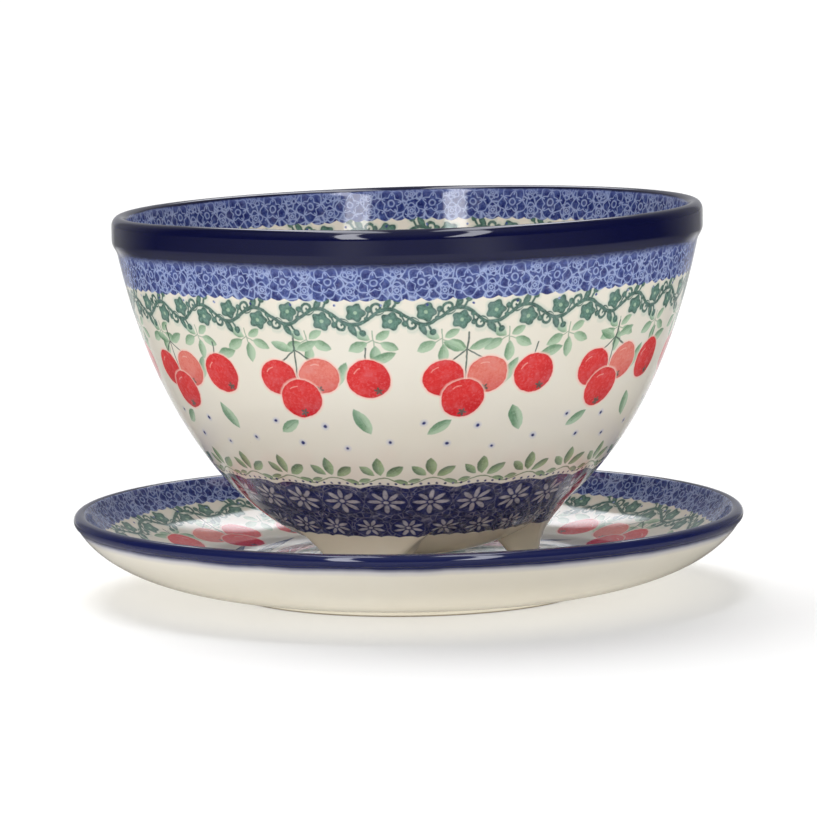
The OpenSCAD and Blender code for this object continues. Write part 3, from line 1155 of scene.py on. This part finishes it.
# %% Give each face its glaze
for piece, kinds, glazes in (
        (bowl, bowl_kind, (painted_outside, painted_inside, band_glaze, bare_clay)),
        (saucer, saucer_kind, (painted_saucer, lipped_glaze, bare_clay))):
    piece.data.materials.clear()
    for material in glazes:
        piece.data.materials.append(material)
    piece.data.polygons.foreach_set("material_index", kinds)
    pick(piece)
    bpy.ops.object.shade_smooth_by_angle(angle=radians(32))
    print(piece.name, "has", len(glazes), "glazes")


# %% [markdown]
# What a gloss glaze shows is the room. Here it is white behind the dish and dark
# at the sides and in front, since white on all sides would wash the blues out.
# Two softboxes stand left and right of the camera and leave a pale patch on the
# far table. Two long strips over the dish draw the bright lines along its lips.

# %% Studio surroundings
surroundings = Group("studio surroundings", {"X": 0.0, "Y": 1.0, "Z": 0.0},
                     ("Room", "Table", "Near"))
x, y, z = (surroundings[axis] for axis in "XYZ")
back_turn = abs(x.do("ARCTAN2", y)) * (180 / pi)
front_turn = x.do("ARCTAN2", y * -1) * (180 / pi)
lift = z.do("ARCTAN2", far(x, y)) * (180 / pi)
spread = share(lift, 18, 40) * 12
white_back = share(back_turn - spread, 31, 18) * share(lift, 60, 44) * 0.46
sides = share(back_turn, 70, 34) * (share(lift, 20, 50) * 0.16 + 0.22) + 0.02
front = share(abs(front_turn), 115, 60) * share(lift, 12, 55) * 0.32
softboxes = [
    mask(greater(abs(front_turn - at - (lift - 30) * lean) - wide, abs(lift - 38) - 27), 1.2) * power
    for at, lean, wide, power in ((-25, -0.25, 5.0, 8.0), (27, 0.4, 5.5, 7.0))]
strips = share(abs(abs(x) - 0.18), 0.11, 0.08) * share(y, -0.3, -0.15) * share(z, 0.5, 0.6) * 5
surroundings["Room"] = greater(white_back, sides, front, strips, *softboxes)
patches = share(abs(front_turn + 21), 15, 2) * 0.28 + share(abs(front_turn - 28), 16, 2) * 0.33
wide_patch = share(abs(front_turn + 12), 100, 30) * 0.24
surroundings["Table"] = greater(white_back, sides + wide_patch + patches)
in_front = share(abs(front_turn), 120, 50) * 0.38 + 0.14
surroundings["Near"] = greater(in_front, share(back_turn, 50, 25) * 0.7)
print(surroundings)

# %% [markdown]
# The floor glows a little to the camera, so it is white where nothing shades it
# and the dish still has its shadow. Reflections see the table near the dish, the
# white behind it, and the dark room at the sides and in front.

# %% White floor
FLOOR_WHITE = 0.99
FLOOR_GLOW = 0.34


def grey(value):
    """One number as a colour."""
    node = value.tree.nodes.new("ShaderNodeCombineColor")
    return fed(node, Red=value, Green=value, Blue=value).outputs[0]


def rays(tree):
    """1 on what the camera sees straight, and 1 on what it sees in gloss or glass."""
    paths = tree.nodes.new("ShaderNodeLightPath").outputs
    return Ink(paths["Is Camera Ray"]), greater(
        Ink(paths["Is Glossy Ray"]), Ink(paths["Is Transmission Ray"]))


floor, tree, shader = new_material("white floor")
straight, mirrored = rays(tree)
x, y, _ = object_place(tree)
studio = placed(tree, surroundings, X=x, Y=y)
near = share(far(x, y), 900, 550) * Ink(studio.outputs["Near"])
seen = mirrored * (greater(near, Ink(studio.outputs["Table"])) - 1) + 1
fed(shader, Base_Color=grey((seen - straight * FLOOR_GLOW) * FLOOR_WHITE), Roughness=1,
    Emission_Color=grey(straight * FLOOR_GLOW), Emission_Strength=1, Specular_IOR_Level=0)

deselect()
bpy.ops.mesh.primitive_plane_add(size=12, location=(0, 0, 0))
ground = bpy.context.object
ground.name = "floor"
ground.data.materials.append(floor)
print(ground.name, "on stage")

# %% [markdown]
# The room gives a little more light from the sides than from above, as white
# walls do. That light reaches under the dish and keeps its feet from turning
# dark.

# %% World
FILL_LOW = 0.62
FILL_HIGH = 0.32
FILL_FRONT = 0.2
COOL_WHITE = (0.94, 0.95, 1.0)

world = bpy.data.worlds.new("studio")
bpy.context.scene.world = world
world.use_nodes = True
tree = world.node_tree
straight, mirrored = rays(tree)
x, y, z = split(tree.nodes.new("ShaderNodeTexCoord").outputs["Generated"])
studio = Ink(placed(tree, surroundings, X=x, Y=y, Z=z).outputs["Room"])
fill = z.do("MAXIMUM", 0) * (FILL_HIGH - FILL_LOW) + FILL_LOW
fill = fill + (y * -1).do("MAXIMUM", 0) * FILL_FRONT
level = mirrored * (studio - fill) + fill
level = straight * (level * -1 + 1) + level
fed(tree.nodes["Background"], Strength=level, Color=mixed(mirrored, (1.0, 1.0, 1.0), COOL_WHITE))
bpy.context.scene.view_settings.view_transform = "Standard"
print("world nodes:", len(tree.nodes))

# %% [markdown]
# Three soft lamps do the rest. One stands behind the dish and lights the floor
# alone, where it lays a soft shadow in front and a little to the right. The
# other two light the dish alone, from the front and from above. No reflection
# shows them.

# %% Lamps
for name, power, wide, heading, lit in (
        ("shadow light", 2.5, 38, (0.2, -0.48, -1.0), (ground,)),
        ("front light", 0.9, 80, (0.1, 0.8, -0.5), (bowl, saucer)),
        ("top light", 0.4, 40, (0.12, 0.0, -1.0), (bowl, saucer))):
    lamp = bpy.data.objects.new(name, bpy.data.lights.new(name, "SUN"))
    lamp.data.energy = power
    lamp.data.angle = radians(wide)
    lamp.visible_glossy = False
    lamp.rotation_euler = Vector(heading).to_track_quat("-Z", "Y").to_euler()
    bpy.context.scene.collection.objects.link(lamp)
    lamp.light_linking.receiver_collection = bpy.data.collections.new(name)
    for thing in lit:
        lamp.light_linking.receiver_collection.objects.link(thing)

# %% [markdown]
# The dish stands on a light table. A weak round lamp under it lights the
# saucer's underside from below, and neither the camera nor a reflection sees it.

# %% Table light
low = bpy.data.objects.new("table light", bpy.data.lights.new("table light", "AREA"))
low.data.shape = "DISK"
low.data.size = 0.19
low.data.energy = 0.046
low.visible_camera = low.visible_glossy = False
low.location = (0, 0, 0.0005)
low.rotation_euler = (pi, 0, 0)
bpy.context.scene.collection.objects.link(low)
print("lamps:", [light.name for light in bpy.data.lights])

# %% [markdown]
# Each mesh stands for the plain solid that it was turned over. The bowl moves
# with its own body, so it can be lifted out of the saucer.

# %% Hand over
for piece, node in ((bowl, "bowl"), (saucer, "saucer")):
    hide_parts(node)
    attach(piece, node)
    node + "_glaze"
